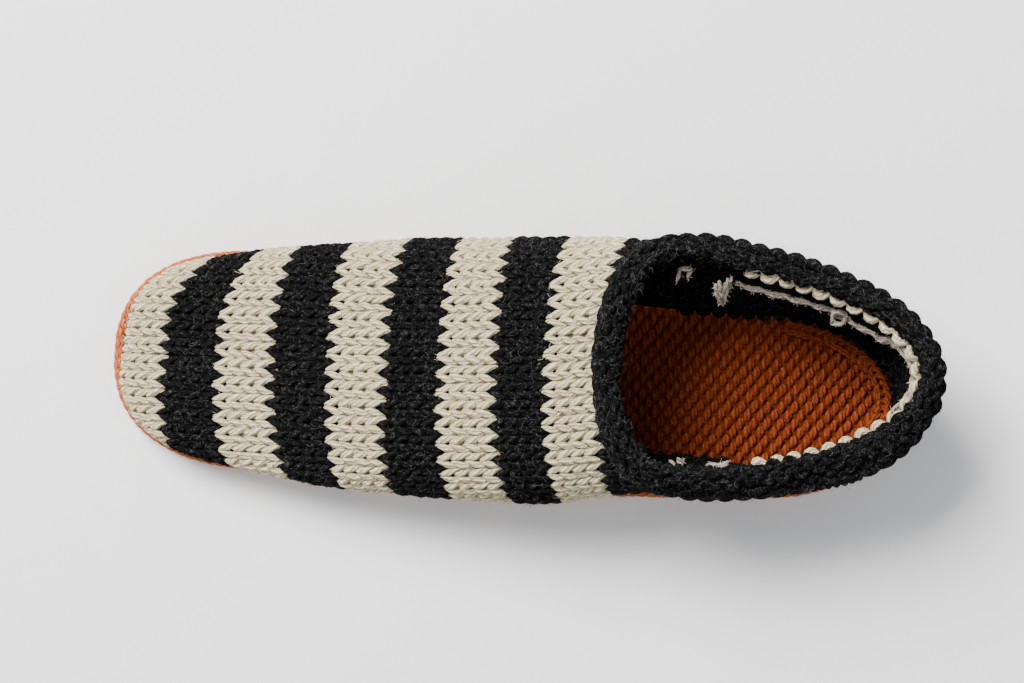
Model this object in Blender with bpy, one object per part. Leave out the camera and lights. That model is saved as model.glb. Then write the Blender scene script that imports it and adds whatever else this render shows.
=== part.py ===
"""A knit slipper: a thick knitted sole, a striped upper that is one hollow shell, and a rolled collar.

Run with: blender --background --python part.py

The slipper stands on its sole at z = 0, with its toe towards -X, its heel towards +X, and the side
that it leans to towards +Y. The tables below are in millimetres, and MM turns them into Blender's
metres.
"""

import math
from collections import namedtuple

import bmesh
import bpy
import numpy as np
from mathutils import Vector
from mathutils.bvhtree import BVHTree

MM = 0.001

# Driving thicknesses and heights, in millimetres
SOLE_THICKNESS = 5.0
SOLE_EDGE_RADIUS = 2.2
TOE_SPRING = 1.8
TOE_SPRING_LENGTH = 34.0
ARCH_LIFT = 0.9
ARCH_MIDDLE = 14.0
ARCH_HALF_LENGTH = 48.0
GAP = 0.3
COLLAR_GAP = 0.7
WALL = 3.8
SEAT = SOLE_THICKNESS + GAP
CROWN_POWER = 2.6

# How far the collar's roll goes past the wall's edge
ROLL_PAST = 4.2

# The middle of the whole slipper's box in the tables' own numbers, which the origin is moved to
BOX_MIDDLE = (2.1, 3.43)

Cap = namedtuple("Cap", "length power")
Outline = namedtuple("Outline", "toe heel toe_cap heel_cap rows")
Row = namedtuple("Row", "x middle half")
Belly = namedtuple("Belly", "x inner outer inner_rise outer_rise")
Ridge = namedtuple("Ridge", "x y z")
Roll = namedtuple("Roll", "x inner_back inner_out outer_back outer_out")

# The sole's outline from above: its middle line and half width at places along it. The toe and heel
# are closed by superellipse caps.
SOLE = Outline(
    toe=-123.3,
    heel=123.3,
    toe_cap=Cap(45.0, 2.4),
    heel_cap=Cap(42.0, 2.0),
    rows=(
        Row(-124.0, 0.3, 33.4),
        Row(-78.0, 0.0, 33.9),
        Row(-40.0, -0.8, 36.0),
        Row(0.0, -2.0, 35.2),
        Row(41.0, -3.6, 31.6),
        Row(75.0, -2.8, 30.8),
        Row(100.0, -1.9, 30.6),
        Row(124.0, -1.6, 29.6),
    ),
)

# How far inside the sole's edge the upper stands
TOE_INSET = 1.6
HEEL_INSET = 1.2
SIDE_INSET = 0.9

# The upper's widest line: where each side lies, and how high up the wall it is as a share of the
# height there. The upper slumps towards the inner side behind the throat.
BELLY = (
    Belly(-124.0, 33.6, -33.2, 0.45, 0.45),
    Belly(-94.0, 33.2, -32.6, 0.45, 0.45),
    Belly(-67.0, 36.4, -35.5, 0.45, 0.45),
    Belly(-42.0, 39.0, -37.9, 0.45, 0.45),
    Belly(-15.0, 41.3, -38.6, 0.45, 0.45),
    Belly(8.0, 43.1, -38.9, 0.48, 0.42),
    Belly(28.0, 44.2, -36.2, 0.58, 0.38),
    Belly(42.0, 43.2, -34.6, 0.66, 0.35),
    Belly(58.0, 41.0, -34.2, 0.72, 0.33),
    Belly(82.0, 36.8, -32.6, 0.74, 0.33),
    Belly(104.0, 33.8, -31.2, 0.68, 0.36),
    Belly(124.2, 31.0, -27.5, 0.5, 0.5),
)
BELLY_TOE = -122.0
BELLY_HEEL = 124.2
BELLY_TOE_CAP = Cap(44.0, 2.4)
BELLY_HEEL_CAP = Cap(42.0, 2.1)

# The top line of the vamp, from the front of the toe to the throat
RIDGE = (
    Ridge(-106.0, 0.4, 15.4),
    Ridge(-90.0, 0.5, 20.6),
    Ridge(-70.0, 0.8, 26.8),
    Ridge(-50.0, 1.2, 32.9),
    Ridge(-30.0, 1.8, 38.7),
    Ridge(-10.0, 3.0, 44.2),
    Ridge(10.0, 4.8, 49.0),
    Ridge(28.0, 7.2, 52.3),
)

# The opening's edge from above, measured at the outside of the wall, and its height
OPENING = Outline(
    toe=28.0,
    heel=123.2,
    toe_cap=Cap(20.0, 2.1),
    heel_cap=Cap(60.0, 2.0),
    rows=(
        Row(28.0, 7.2, 33.4),
        Row(45.0, 7.2, 33.8),
        Row(57.0, 6.6, 33.6),
        Row(72.0, 6.2, 31.6),
        Row(86.0, 6.3, 30.3),
        Row(104.0, 6.8, 29.5),
        Row(123.2, 8.0, 29.0),
    ),
)
OPENING_HEIGHT = ((28.0, 52.3), (40.0, 50.6), (57.0, 48.0), (75.0, 46.2), (95.0, 45.2), (123.2, 46.6))

# How far the collar's roll lies back over the outside of the wall, and how far it stands off it, on
# each side
ROLL = (
    Roll(28.0, 5.6, 4.6, 5.6, 4.6),
    Roll(42.0, 6.0, 3.8, 6.6, 4.8),
    Roll(60.0, 6.0, 4.3, 7.4, 5.0),
    Roll(90.0, 5.6, 3.9, 9.2, 5.6),
    Roll(112.0, 5.6, 3.7, 9.6, 6.2),
    Roll(119.0, 5.6, 3.6, 8.0, 5.2),
    Roll(123.2, 5.8, 3.6, 5.8, 3.6),
)

# Stretches of the slipper from toe to heel. Each has its number of steps, and the x at which it
# ends on the wall's foot, on its widest line and on its top line.
Stretch = namedtuple("Stretch", "name steps spacing foot belly top")
FOOT_TOE = SOLE.toe + TOE_INSET
FOOT_HEEL = SOLE.heel - HEEL_INSET
STRETCHES = (
    Stretch("toe", 9, "opening", -78.0, -78.0, -78.0),
    Stretch("vamp", 14, "even", 28.0, 28.0, 28.0),
    Stretch("nose", 7, "opening", 48.0, 48.0, 48.0),
    Stretch("side", 4, "even", FOOT_HEEL - 42.0, BELLY_HEEL - 42.0, OPENING.heel - 60.0),
    Stretch("heel", 12, "closing", FOOT_HEEL, BELLY_HEEL, OPENING.heel),
)
FOOT_STEPS = 3
CROWN_STEPS = 9
INNER, OUTER = 1, -1


def smooth(x, xs, ys):
    """The value at x of a smooth curve through a table, level beyond its ends and never past its
    neighbours."""
    xs, ys = np.asarray(xs, float), np.asarray(ys, float)
    x = min(max(x, xs[0]), xs[-1])
    width = np.diff(xs)
    slope = np.diff(ys) / width
    tangent = np.zeros(len(xs))
    for i in range(1, len(xs) - 1):
        if slope[i - 1] * slope[i] > 0:
            tangent[i] = 2 * slope[i - 1] * slope[i] / (slope[i - 1] + slope[i])
    tangent[0], tangent[-1] = slope[0], slope[-1]
    i = min(int(np.searchsorted(xs, x, side="right")) - 1, len(xs) - 2)
    t = (x - xs[i]) / width[i]
    return float(
        ys[i] * (1 + 2 * t) * (1 - t) ** 2
        + tangent[i] * width[i] * t * (1 - t) ** 2
        + ys[i + 1] * t * t * (3 - 2 * t)
        + tangent[i + 1] * width[i] * t * t * (t - 1)
    )


def column(rows, name, x):
    """The value at x of one named column of a table."""
    return smooth(x, [row.x for row in rows], [getattr(row, name) for row in rows])


def cap_share(x, toe, heel, toe_cap, heel_cap):
    """The share of the full half width left at x by the rounded toe and heel."""
    share = 1.0
    for depth, cap in ((x - toe, toe_cap), (heel - x, heel_cap)):
        if depth < cap.length:
            along = 1 - max(depth, 0.0) / cap.length
            share *= (1 - along**cap.power) ** (1 / cap.power)
    return share


def outline_y(outline, x, side, inset=0.0):
    """The y of one side of an outline at x, with its sides drawn in by inset."""
    share = cap_share(x, outline.toe, outline.heel, outline.toe_cap, outline.heel_cap)
    return column(outline.rows, "middle", x) + side * share * (column(outline.rows, "half", x) - inset)


def drawn_in(outline, toe, heel, side):
    """The same outline, shorter by toe and heel at its ends and narrower by side at each side."""
    rows = tuple(Row(row.x, row.middle, row.half - side) for row in outline.rows)
    return outline._replace(toe=outline.toe + toe, heel=outline.heel - heel, rows=rows)


FOOT = drawn_in(SOLE, TOE_INSET, HEEL_INSET, SIDE_INSET)


def share_of(step, steps, spacing):
    """How far along a stretch a step lies. The rounded ends are stepped by angle, so that their
    curve is even."""
    if spacing == "opening":
        return 1 - math.cos(step / steps * math.pi / 2)
    if spacing == "closing":
        return math.sin(step / steps * math.pi / 2)
    return step / steps


Station = namedtuple("Station", "foot belly top stretch")


def stations():
    """The x of the foot, the widest line and the top line for each section from the toe's tip to
    the heel's."""
    start = Station(FOOT_TOE, BELLY_TOE, RIDGE[0].x, "toe")
    found = [start]
    for stretch in STRETCHES:
        for step in range(1, stretch.steps + 1):
            share = share_of(step, stretch.steps, stretch.spacing)
            found.append(
                Station(
                    start.foot + share * (stretch.foot - start.foot),
                    start.belly + share * (stretch.belly - start.belly),
                    start.top + share * (stretch.top - start.top),
                    stretch.name,
                )
            )
        start = found[-1]
    return found


def belly_y(x, side, inset):
    """The y of the upper's widest line at x."""
    inner, outer = column(BELLY, "inner", x), column(BELLY, "outer", x)
    share = cap_share(x, BELLY_TOE + inset, BELLY_HEEL - inset, BELLY_TOE_CAP, BELLY_HEEL_CAP)
    return (inner + outer) / 2 + side * share * ((inner - outer) / 2 - inset)


def drawn_along(x, toe, heel, inset):
    """The place of x once the stretch from toe to heel is shortened by inset at both ends."""
    return toe + inset + (x - toe) / (heel - toe) * (heel - toe - 2 * inset)


def top_point(station, side):
    """The point of the ridge, or behind the throat of the opening's edge, that a section ends at."""
    x = station.top
    if x <= OPENING.toe:
        return np.array([x, column(RIDGE, "y", x), column(RIDGE, "z", x)])
    return np.array([x, outline_y(OPENING, x, side), smooth(x, *zip(*OPENING_HEIGHT))])


def section(station, side, inset=0.0, normal=None):
    """Points up the wall on one side: out from the foot to the widest line, then over the crown.

    The surface is drawn in from the outside of the wall by inset, at its top along the given normal.
    """
    shape = drawn_in(FOOT, inset, inset, inset)
    x = drawn_along(station.foot, FOOT_TOE, FOOT_HEEL, inset)
    foot = np.array([x, outline_y(shape, x, side), SEAT])
    top = top_point(station, side)
    if inset:
        top = top - inset * normal
    rise = column(BELLY, "inner_rise" if side == INNER else "outer_rise", station.belly)
    x = drawn_along(station.belly, BELLY_TOE, BELLY_HEEL, inset)
    belly = np.array([x, belly_y(x, side, inset), SEAT + rise * (top[2] - SEAT)])

    points = []
    for step in range(FOOT_STEPS):
        up = step / FOOT_STEPS
        out = 1 - (1 - up) ** 2
        points.append(np.array([*(foot + out * (belly - foot))[:2], foot[2] + up * (belly[2] - foot[2])]))

    # The crown is part of a superellipse from the widest line up to a level top. At the opening it
    # stops on the way.
    ridge = station.top <= OPENING.toe
    middle = column(RIDGE, "y", station.top)
    reach = 0.0 if ridge or abs(belly[1] - middle) < 1 else abs(top[1] - middle) / abs(belly[1] - middle)
    stop = math.acos(min(reach, 0.97) ** (CROWN_POWER / 2))
    level, upright = math.cos(stop) ** (2 / CROWN_POWER), math.sin(stop) ** (2 / CROWN_POWER)
    for step in range(CROWN_STEPS + 1):
        angle = stop * step / CROWN_STEPS
        out = (math.cos(angle) ** (2 / CROWN_POWER) - level) / (1 - level)
        up = math.sin(angle) ** (2 / CROWN_POWER) / upright
        plan = top + out * (belly - top)
        points.append(np.array([plan[0], plan[1], belly[2] + up * (top[2] - belly[2])]))
    return points


def placed(point):
    """A point of the tables in Blender's metres, with the origin under the middle of the slipper's
    box."""
    return ((point[0] - BOX_MIDDLE[0]) * MM, (point[1] - BOX_MIDDLE[1]) * MM, point[2] * MM)


def material(name, colour, roughness):
    """A matt yarn colour."""
    made = bpy.data.materials.new(name)
    made.use_nodes = True
    shader = made.node_tree.nodes["Principled BSDF"]
    shader.inputs["Base Color"].default_value = (*colour, 1.0)
    shader.inputs["Roughness"].default_value = roughness
    shader.inputs["Metallic"].default_value = 0.0
    return made


def grid_mesh(grids, merge=0.00001):
    """A mesh from grids of points. Each grid is a list of rows, and neighbouring rows are joined
    by quads."""
    mesh = bmesh.new()
    for rows in grids:
        made = [[mesh.verts.new(placed(point)) for point in row] for row in rows]
        for low, high in zip(made, made[1:]):
            for a, b, c, d in zip(low, low[1:], high[1:], high):
                mesh.faces.new((a, b, c, d))
    bmesh.ops.remove_doubles(mesh, verts=mesh.verts, dist=merge)
    bmesh.ops.dissolve_degenerate(mesh, edges=mesh.edges, dist=merge)
    bmesh.ops.recalc_face_normals(mesh, faces=mesh.faces)
    mesh.normal_update()
    return mesh


def grid_object(name, grids, collection):
    """One closed object from grids of points."""
    mesh = grid_mesh(grids)
    data = bpy.data.meshes.new(name)
    mesh.to_mesh(data)
    mesh.free()
    made = bpy.data.objects.new(name, data)
    collection.objects.link(made)
    data.shade_smooth()
    return made


def make_sole(collection, colour):
    """A flat-topped sole with rounded edges. Its underside lifts a little at the toe and under the
    arch."""
    places = stations()
    top_ring = SOLE_EDGE_RADIUS

    def underside(x, y):
        toe = max(0.0, 1 - (x - SOLE.toe) / TOE_SPRING_LENGTH)
        waist = max(0.0, 1 - ((x - ARCH_MIDDLE) / ARCH_HALF_LENGTH) ** 2)
        inner = min(max((y + 12) / 40, 0.0), 1.0)
        return TOE_SPRING * toe**2 + ARCH_LIFT * waist**2 * inner

    def ring(inset, share):
        """The outline drawn in by inset, at a share of the way from the underside to the top."""
        shape = drawn_in(SOLE, inset, inset, inset)
        rings = {}
        for side in (INNER, OUTER):
            row = []
            for place in places:
                along = (place.foot - FOOT_TOE) / (FOOT_HEEL - FOOT_TOE)
                x = shape.toe + along * (shape.heel - shape.toe)
                y = outline_y(shape, x, side)
                low = underside(x, y)
                row.append(np.array([x, y, low + share * (SOLE_THICKNESS - low)]))
            rings[side] = row
        return rings

    edge_steps = 6
    edge = []
    for step in range(edge_steps + 1):
        angle = math.pi * step / edge_steps
        inset = top_ring * (1 - math.sin(angle))
        rise = 0.5 - 0.5 * math.cos(angle)
        edge.append(ring(inset, rise))

    across = 4

    def floor_of(rings, flat):
        """Rows across the sole between the two sides of a ring, level for the top and shaped for
        the underside."""
        rows = []
        for inner, outer in zip(rings[INNER], rings[OUTER]):
            row = []
            for step in range(across + 1):
                point = outer + (inner - outer) * step / across
                if not flat:
                    point[2] = underside(point[0], point[1])
                row.append(point)
            rows.append(row)
        return rows

    grids = [
        [edge_ring[INNER] for edge_ring in edge],
        [edge_ring[OUTER] for edge_ring in reversed(edge)],
        floor_of(edge[-1], True),
        [list(reversed(row)) for row in floor_of(edge[0], False)],
    ]
    sole = grid_object("sole", grids, collection)
    sole.data.materials.append(colour)
    return sole


def make_upper(collection, colour):
    """The shell from the sole up: an outer and an inner skin, joined along the opening's edge and
    the level foot."""
    places = stations()
    rim = [i for i, place in enumerate(places) if place.top >= OPENING.toe]
    normals = top_normals()
    grids = []
    for side in (INNER, OUTER):
        outside = [section(place, side) for place in places]
        inside = [section(place, side, WALL, normals[place, side]) for place in places]
        foot = [[a[0], b[0]] for a, b in zip(outside, inside)]
        edge = [[outside[i][-1], inside[i][-1]] for i in rim]
        grids += [outside, inside, foot, edge]
    upper = grid_object("upper", grids, collection)
    upper.data.materials.append(colour)


def rounded(place):
    """A place in metres as a key, to a hundredth of a millimetre."""
    return tuple(round(v / MM, 2) for v in place)


def outer_skin():
    """The outside of the upper as an open mesh."""
    return grid_mesh([[section(place, side) for place in stations()] for side in (INNER, OUTER)])


def top_normals():
    """The outside's normal where each section ends, pointing out of the wall."""
    places = stations()
    skin = outer_skin()
    found = {rounded(vertex.co): np.array(vertex.normal) for vertex in skin.verts}
    skin.free()
    within = np.array([60.0, 4.0, 20.0])
    normals = {}
    for place in places:
        for side in (INNER, OUTER):
            point = top_point(place, side)
            normal = found[rounded(placed(point))]
            if normal @ (point - within) < 0:
                normal = -normal
            normals[place, side] = normal
    return normals


Frame = namedtuple("Frame", "point out past roll_back roll_out")


def rim_frames():
    """The opening's edge as frames, from the throat round the inner side to the heel and back
    along the outer."""
    rim = [place for place in stations() if place.top >= OPENING.toe]
    line = [(place, INNER) for place in rim] + [(place, OUTER) for place in reversed(rim[1:-1])]
    points = np.array([top_point(place, side) for place, side in line])
    middle = points.mean(axis=0)
    normals = top_normals()
    frames = []
    for i, (place, side) in enumerate(line):
        point = points[i]
        tangent = points[(i + 1) % len(points)] - points[i - 1]
        tangent /= np.linalg.norm(tangent)
        out = normals[place, side]
        out = out - tangent * (out @ tangent)
        out /= np.linalg.norm(out)
        past = np.cross(tangent, out)
        inwards = (middle - point) * (1, 1, 0)
        if past @ (inwards / np.linalg.norm(inwards) + (0, 0, 1)) < 0:
            past = -past
        name = "inner" if side == INNER else "outer"
        roll_back, roll_out = column(ROLL, name + "_back", point[0]), column(ROLL, name + "_out", point[0])
        frames.append(Frame(point, out, past, roll_back, roll_out))
    return frames


def collar_profile(frame, skin):
    """The roll's section at a frame: an arch that lies back over the wall, a lip past its edge,
    and the gap between."""

    def wall_at(past):
        """How high the wall's outside lies at a place in the frame, which is below 0 where it
        curves away."""
        start = Vector(placed(frame.point + frame.past * past + frame.out * 8.0))
        hit = skin.ray_cast(start, Vector(-frame.out))[3]
        return 8.0 - hit / MM if past < 0 and hit else 0.0

    points = []
    middle = (ROLL_PAST - frame.roll_back) / 2
    reach = (ROLL_PAST + frame.roll_back) / 2
    for step in range(9):
        angle = math.pi * (1 - step / 8)
        past = middle + reach * math.cos(angle)
        points.append((past, COLLAR_GAP + wall_at(past) + frame.roll_out * math.sin(angle)))
    lip = WALL - 0.6
    for step in range(1, 5):
        angle = -math.pi / 2 * step / 4
        past = COLLAR_GAP + (ROLL_PAST - COLLAR_GAP) * math.cos(angle)
        points.append((past, COLLAR_GAP + (lip + COLLAR_GAP) * math.sin(angle)))
    points.append((COLLAR_GAP, COLLAR_GAP))
    for share in (0.15, 0.4, 0.65, 0.9):
        past = -frame.roll_back * share
        points.append((past, COLLAR_GAP + wall_at(past)))
    return [frame.point + frame.past * past + frame.out * out for past, out in points]


def make_collar(collection, colour):
    """The rolled band: its section carried round the opening's edge, clear of the wall."""
    mesh = outer_skin()
    skin = BVHTree.FromBMesh(mesh)
    mesh.free()
    rows = [collar_profile(frame, skin) for frame in rim_frames()]
    rings = [row + [row[0]] for row in rows + rows[:1]]
    collar = grid_object("collar", [rings], collection)
    collar.data.materials.append(colour)


def main():
    for thing in list(bpy.data.objects):
        bpy.data.objects.remove(thing)
    parts = bpy.data.collections.new("knit_slipper")
    bpy.context.scene.collection.children.link(parts)
    rust = material("rust_yarn", (0.47, 0.13, 0.03), 0.9)
    oatmeal = material("oatmeal_and_charcoal_yarn", (0.62, 0.56, 0.45), 0.9)
    charcoal = material("charcoal_yarn", (0.03, 0.03, 0.034), 0.95)
    make_sole(parts, rust)
    make_upper(parts, oatmeal)
    make_collar(parts, charcoal)


main()
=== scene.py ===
"""Looks for the knit slipper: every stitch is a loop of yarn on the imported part's own surfaces.

Lengths are in millimetres until a mesh is made, and MM turns them into metres. The toe points towards -X.
"""

import math
from collections import namedtuple

import bpy
import numpy as np
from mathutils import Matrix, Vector


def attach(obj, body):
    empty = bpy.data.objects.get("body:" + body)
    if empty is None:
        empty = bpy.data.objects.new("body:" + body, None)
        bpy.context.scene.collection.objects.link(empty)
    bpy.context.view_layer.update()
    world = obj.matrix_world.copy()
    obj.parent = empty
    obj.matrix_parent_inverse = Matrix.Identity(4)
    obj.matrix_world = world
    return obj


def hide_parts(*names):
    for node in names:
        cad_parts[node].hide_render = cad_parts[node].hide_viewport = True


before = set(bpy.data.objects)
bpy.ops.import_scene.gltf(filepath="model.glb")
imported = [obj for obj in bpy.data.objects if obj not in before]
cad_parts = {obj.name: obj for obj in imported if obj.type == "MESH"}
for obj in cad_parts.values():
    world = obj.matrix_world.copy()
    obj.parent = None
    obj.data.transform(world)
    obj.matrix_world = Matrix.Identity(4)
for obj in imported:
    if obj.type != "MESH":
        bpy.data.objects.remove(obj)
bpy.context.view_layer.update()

MM = 0.001
random = np.random.default_rng(7)

# Knitting gauge: the pitch of rows and of wales, and the yarn's radius
ROW = 4.15
WALE = 5.3
YARN = 1.12

# The last's own sizes, as the part's solids have them
SOLE_THICKNESS = 5.0
TOE_SPRING = 1.8
TOE_SPRING_LENGTH = 34.0
ARCH_LIFT = 0.9
ARCH_MIDDLE = 14.0
ARCH_HALF_LENGTH = 48.0
SEAT = 5.3
CROWN_POWER = 2.6
COLLAR_GAP = 0.7
BOX_MIDDLE = np.array([2.1, 3.43, 0.0])

Cap = namedtuple("Cap", "length power")
Outline = namedtuple("Outline", "toe heel toe_cap heel_cap rows")

# x, middle, half
SOLE = Outline(
    -123.3,
    123.3,
    Cap(45.0, 2.4),
    Cap(42.0, 2.0),
    (
        (-124.0, 0.3, 33.4),
        (-78.0, 0.0, 33.9),
        (-40.0, -0.8, 36.0),
        (0.0, -2.0, 35.2),
        (41.0, -3.6, 31.6),
        (75.0, -2.8, 30.8),
        (100.0, -1.9, 30.6),
        (124.0, -1.6, 29.6),
    ),
)
OPENING = Outline(
    28.0,
    123.2,
    Cap(20.0, 2.1),
    Cap(60.0, 2.0),
    (
        (28.0, 7.2, 33.4),
        (45.0, 7.2, 33.8),
        (57.0, 6.6, 33.6),
        (72.0, 6.2, 31.6),
        (86.0, 6.3, 30.3),
        (104.0, 6.8, 29.5),
        (123.2, 8.0, 29.0),
    ),
)
OPENING_HEIGHT = ((28.0, 52.3), (40.0, 50.6), (57.0, 48.0), (75.0, 46.2), (95.0, 45.2), (123.2, 46.6))

# x, inner y, outer y, inner rise, outer rise
BELLY = (
    (-124.0, 33.6, -33.2, 0.45, 0.45),
    (-94.0, 33.2, -32.6, 0.45, 0.45),
    (-67.0, 36.4, -35.5, 0.45, 0.45),
    (-42.0, 39.0, -37.9, 0.45, 0.45),
    (-15.0, 41.3, -38.6, 0.45, 0.45),
    (8.0, 43.1, -38.9, 0.48, 0.42),
    (28.0, 44.2, -36.2, 0.58, 0.38),
    (42.0, 43.2, -34.6, 0.66, 0.35),
    (58.0, 41.0, -34.2, 0.72, 0.33),
    (82.0, 36.8, -32.6, 0.74, 0.33),
    (104.0, 33.8, -31.2, 0.68, 0.36),
    (124.2, 31.0, -27.5, 0.5, 0.5),
)
BELLY_ENDS = (-122.0, 124.2, Cap(44.0, 2.4), Cap(42.0, 2.1))

# x, y, z
RIDGE = (
    (-106.0, 0.4, 15.4),
    (-90.0, 0.5, 20.6),
    (-70.0, 0.8, 26.8),
    (-50.0, 1.2, 32.9),
    (-30.0, 1.8, 38.7),
    (-10.0, 3.0, 44.2),
    (10.0, 4.8, 49.0),
    (28.0, 7.2, 52.3),
)

# x, then how far the roll lies back and stands off: inner back, inner out, outer back, outer out
ROLL = (
    (28.0, 5.6, 4.6, 5.6, 4.6),
    (42.0, 6.0, 3.8, 6.6, 4.8),
    (60.0, 6.0, 4.3, 7.4, 5.0),
    (90.0, 5.6, 3.9, 9.2, 5.6),
    (112.0, 5.6, 3.7, 9.6, 6.2),
    (119.0, 5.6, 3.6, 8.0, 5.2),
    (123.2, 5.8, 3.6, 5.8, 3.6),
)

# How the drawn roll differs from the solid's. For each side: how far it goes past the wall's edge, how
# far its lip stands inside the opening, how much further back it lies, the angle at which its bound-off
# edge stops, and how much less it stands off
RollDrawn = namedtuple("RollDrawn", "x past lip further stop thinner")
ROLL_DRAWN = {
    1: (
        RollDrawn(28.0, 4.4, 3.4, -1.1, 180.0, 0.2),
        RollDrawn(42.0, 3.8, 3.2, 0.0, 165.0, 1.5),
        RollDrawn(58.0, 3.2, 3.1, 0.0, 112.0, 1.3),
        RollDrawn(104.0, 3.2, 3.0, 0.0, 108.0, 1.1),
        RollDrawn(115.0, 3.5, 3.0, 0.3, 140.0, 0.7),
        RollDrawn(123.2, 3.6, 3.0, 0.4, 165.0, 0.4),
    ),
    -1: (
        RollDrawn(28.0, 4.4, 3.4, -1.1, 180.0, 0.2),
        RollDrawn(42.0, 4.3, 2.7, 0.2, 172.0, 1.7),
        RollDrawn(58.0, 4.0, 3.0, 0.1, 165.0, 1.3),
        RollDrawn(80.0, 4.0, 4.0, 0.0, 158.0, 1.6),
        RollDrawn(90.0, 4.0, 4.0, 0.0, 154.0, 2.3),
        RollDrawn(104.0, 4.0, 4.0, 0.0, 150.0, 0.4),
        RollDrawn(118.0, 3.8, 3.5, 0.3, 165.0, 1.2),
        RollDrawn(123.2, 3.6, 3.0, 0.4, 165.0, 0.4),
    ),
}

# spacing, and the x at which each stretch ends on the foot, on the widest line and on the top line
STRETCHES = (
    ("opening", -78.0, -78.0, -78.0),
    ("even", 28.0, 28.0, 28.0),
    ("opening", 48.0, 48.0, 48.0),
    ("even", 80.1, 82.2, 63.2),
    ("closing", 122.1, 124.2, 123.2),
)
STRETCH_START = (-121.7, -122.0, -106.0)
THROAT = 2.0
THROAT_X = 25.95
INNER, OUTER = 1, -1

# Where the edges between the stripes lie: row, x at the top line, how far they lean down the sides and
# to what depth, and their curve on each side. Every stripe has four rows. The rows are counted from the
# first edge.
StripeEdge = namedtuple("StripeEdge", "row x lean depth inner_curve outer_curve outer_depth")
EDGES = (
    StripeEdge(0, -109.0, 0.60, 26.0, 16.0, 1.4, 26.0),
    StripeEdge(4, -92.4, 0.60, 26.0, 9.4, 1.9, 26.0),
    StripeEdge(8, -75.8, 0.60, 26.0, 2.2, 2.6, 26.0),
    StripeEdge(12, -57.6, 0.60, 26.0, -1.0, 0.2, 26.0),
    StripeEdge(16, -40.7, 0.55, 26.0, -0.6, -0.8, 26.0),
    StripeEdge(20, -24.0, 0.42, 26.0, -0.5, 0.5, 26.0),
    StripeEdge(24, -7.8, 0.38, 26.0, -1.0, 1.4, 26.0),
    StripeEdge(28, 7.4, 0.45, 22.0, -0.4, 0.8, 22.0),
    StripeEdge(32, 24.0, 0.53, 14.0, 0.3, -1.8, 26.0),
    StripeEdge(36, 41.0, 0.53, 14.0, -0.6, -0.6, 26.0),
)
LAST_ROW = 36
TOE_ROWS = 4

# Soft troughs and ridges in the wall, placed one by one: x, y, z of the middle, half width along x, y and
# z, and how far the wall moves outwards there
Crease = namedtuple("Crease", "x y z wide_x wide_y wide_z out")
CREASES = (
    Crease(-122.0, 2.0, 9.0, 10.0, 12.0, 9.0, -1.9),
    Crease(-97.0, 22.0, 15.0, 12.0, 9.0, 9.0, -0.8),
    Crease(-62.0, -34.0, 16.0, 16.0, 10.0, 8.0, 0.7),
    Crease(-30.0, 34.0, 20.0, 15.0, 9.0, 9.0, 0.8),
    Crease(6.0, -35.0, 26.0, 10.0, 9.0, 10.0, -0.9),
    Crease(43.0, -38.0, 20.0, 15.0, 9.0, 16.0, -2.6),
    Crease(47.0, 37.0, 26.0, 7.0, 9.0, 16.0, -0.9),
    Crease(72.0, -34.0, 18.0, 9.0, 9.0, 11.0, -0.8),
    Crease(86.0, -33.0, 18.0, 14.0, 9.0, 14.0, -1.8),
    Crease(88.0, 31.0, 22.0, 10.0, 9.0, 12.0, 0.7),
    Crease(104.0, -27.0, 24.0, 9.0, 9.0, 12.0, 0.7),
    Crease(118.0, 8.0, 16.0, 9.0, 12.0, 9.0, -0.7),
)


def smooth(x, xs, ys):
    """Values at x of a smooth curve through a table, level beyond its ends and never past its
    neighbours."""
    xs, ys = np.asarray(xs, float), np.asarray(ys, float)
    x = np.clip(x, xs[0], xs[-1])
    width = np.diff(xs)
    slope = np.diff(ys) / width
    tangent = np.zeros(len(xs))
    for i in range(1, len(xs) - 1):
        if slope[i - 1] * slope[i] > 0:
            tangent[i] = 2 * slope[i - 1] * slope[i] / (slope[i - 1] + slope[i])
    tangent[0], tangent[-1] = slope[0], slope[-1]
    i = np.minimum(np.searchsorted(xs, x, side="right") - 1, len(xs) - 2)
    t = (x - xs[i]) / width[i]
    return (
        ys[i] * (1 + 2 * t) * (1 - t) ** 2
        + tangent[i] * width[i] * t * (1 - t) ** 2
        + ys[i + 1] * t * t * (3 - 2 * t)
        + tangent[i + 1] * width[i] * t * t * (t - 1)
    )


def column(rows, index, x):
    """Values at x of one column of a table whose first column is x."""
    return smooth(x, [row[0] for row in rows], [row[index] for row in rows])


def cap_share(x, toe, heel, toe_cap, heel_cap):
    """The share of the full half width left at x by the rounded toe and heel."""
    share = 1.0
    for depth, cap in ((x - toe, toe_cap), (heel - x, heel_cap)):
        along = np.clip(1 - depth / cap.length, 0.0, 1.0)
        share = share * (1 - along**cap.power) ** (1 / cap.power)
    return share


def outline_y(outline, x, side):
    """The y of one side of an outline at x."""
    share = cap_share(x, outline.toe, outline.heel, outline.toe_cap, outline.heel_cap)
    return column(outline.rows, 1, x) + side * share * column(outline.rows, 2, x)


def drawn_in(outline, toe, heel, side):
    """The same outline, shorter by toe and heel at its ends and narrower by side at each side."""
    rows = tuple((x, middle, half - side) for x, middle, half in outline.rows)
    return outline._replace(toe=outline.toe + toe, heel=outline.heel - heel, rows=rows)


FOOT = drawn_in(SOLE, 1.6, 1.2, 0.9)


def belly_y(x, side):
    """The y of the upper's widest line at x."""
    inner, outer = column(BELLY, 1, x), column(BELLY, 2, x)
    return (inner + outer) / 2 + side * cap_share(x, *BELLY_ENDS) * (inner - outer) / 2


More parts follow.
